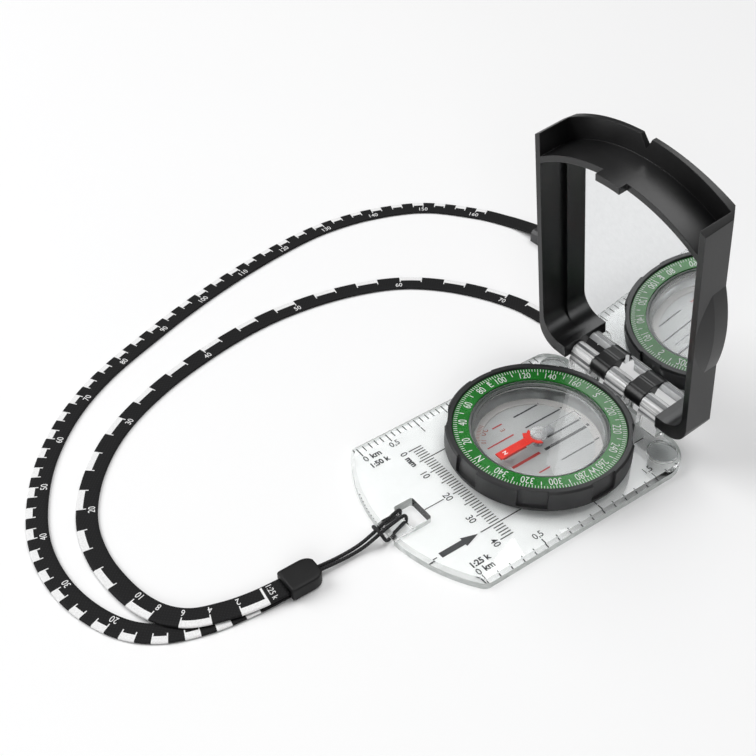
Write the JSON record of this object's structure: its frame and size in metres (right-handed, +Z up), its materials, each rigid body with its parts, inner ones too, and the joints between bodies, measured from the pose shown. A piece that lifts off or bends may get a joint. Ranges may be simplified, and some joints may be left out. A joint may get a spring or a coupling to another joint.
{
  "type": "sighting baseplate compass",
  "caption": "Clear baseplate compass with a rotating liquid capsule dial, a magnetic needle, a hinged mirror sighting lid and a flat printed lanyard.",
  "frame": {"origin": "middle of the box round the compass without its lanyard, on the surface it lies on; the dial turns about X = 0, Y = 7.5 mm", "axes": "+Z up from the table, +Y towards the hinge and the mirror (direction of travel), +X to the right of the plate"},
  "size_m": [0.162, 0.2088, 0.0914],
  "materials": {
    "clear_plate": "clear polished acrylic",
    "steel": "polished",
    "clear_rubber": "clear soft silicone",
    "white_plastic": "satin",
    "grip_rubber": "fine matte grip",
    "green_plastic": "printed, satin",
    "frosted_plastic": "frosted clear",
    "seal_rubber": "matte",
    "clear_lens": "clear polished",
    "dial_print": "printed satin grey",
    "red_needle": "painted gloss red",
    "magnet": "dark satin",
    "jewel": "polished",
    "black_plastic": "satin moulded black",
    "foam_tape": "matte foam",
    "mirror": "polished mirror",
    "tether_elastic": "braided elastic",
    "ribbon": "woven black with white print",
    "clip_plastic": "satin dark grey"
  },
  "bodies": {
    "base": {"baseplate": "clear_plate", "hinge_pin": "steel", "foot_left": "clear_rubber", "foot_right": "clear_rubber", "glide_ring": "white_plastic", "tether_cord": "tether_elastic", "lanyard_ferrule": "black_plastic", "ribbon_outer": "ribbon", "ribbon_inner": "ribbon", "breakaway_plug": "clip_plastic", "breakaway_socket": "clip_plastic"},
    "dial": {"bezel_ring": "grip_rubber", "snap_ring": "steel", "graduation_ring": "green_plastic", "capsule_cup": "frosted_plastic", "capsule_gasket": "seal_rubber", "capsule_lens": "clear_lens", "orienting_disc": "dial_print", "declination_ring": "dial_print", "pivot_post": "steel"},
    "needle": {"needle_north": "red_needle", "needle_south": "clear_lens", "needle_magnet": "magnet", "needle_hub": "clear_lens", "jewel_bearing": "jewel"},
    "lid": {"lid_frame": "black_plastic", "mirror_backing": "foam_tape", "mirror_glass": "mirror", "lid_bushings": "steel"}
  },
  "joints": [
    {"name": "dial_turn", "type": "hinge", "parent": "base", "child": "dial", "pos_m": [0, 0.0075, 0.0068], "axis": [0, 0, 1], "continuous": true},
    {"name": "needle_swing", "type": "hinge", "parent": "dial", "child": "needle", "pos_m": [0, 0.0075, 0.0066], "axis": [0, 0, 1], "continuous": true},
    {"name": "lid_fold", "type": "hinge", "parent": "base", "child": "lid", "pos_m": [0, 0.0385, 0.0099], "axis": [-1, 0, 0], "range_deg": [-83, 97]}
  ]
}
